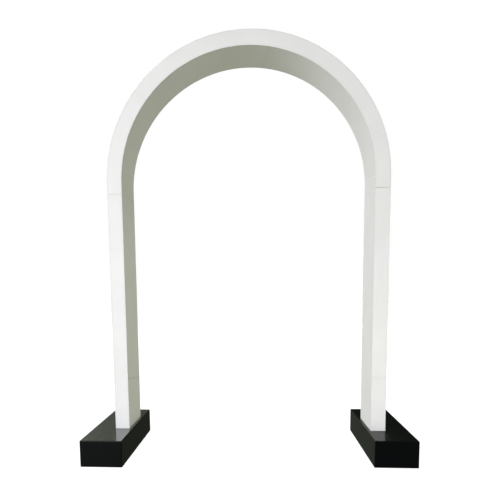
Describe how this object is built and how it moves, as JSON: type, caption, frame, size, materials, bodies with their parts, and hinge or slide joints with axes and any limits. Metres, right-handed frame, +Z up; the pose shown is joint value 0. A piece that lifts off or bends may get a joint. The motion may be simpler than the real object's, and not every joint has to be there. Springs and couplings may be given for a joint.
{
  "type": "cloth-covered walk-through arch with its frame and plinths",
  "caption": "Free-standing round-topped walk-through arch: taut white cloth panels over a plain box frame, each leg on a low glossy black plinth.",
  "frame": {"origin": "on the floor, in the middle of the part's footprint and below the crown", "axes": "+X along the span, +Y from the front face to the back face, +Z up"},
  "size_m": [2.34, 0.86, 3],
  "materials": {
    "cloth": "smooth matt stretched cloth, white",
    "frame": "plain mill finish, out of sight",
    "plinth": "polished black laminate"
  },
  "bodies": {
    "root": {"arch_front_panel": "cloth", "arch_back_panel": "cloth", "arch_outer_panel": "cloth", "soffit_panel_left": "cloth", "soffit_panel_right": "cloth", "arch_frame": "frame", "leg_front_panel_left": "cloth", "leg_back_panel_left": "cloth", "leg_outer_panel_left": "cloth", "leg_inner_panel_left": "cloth", "leg_frame_left": "frame", "plinth_left": "plinth", "leg_front_panel_right": "cloth", "leg_back_panel_right": "cloth", "leg_outer_panel_right": "cloth", "leg_inner_panel_right": "cloth", "leg_frame_right": "frame", "plinth_right": "plinth"}
  },
  "joints": []
}
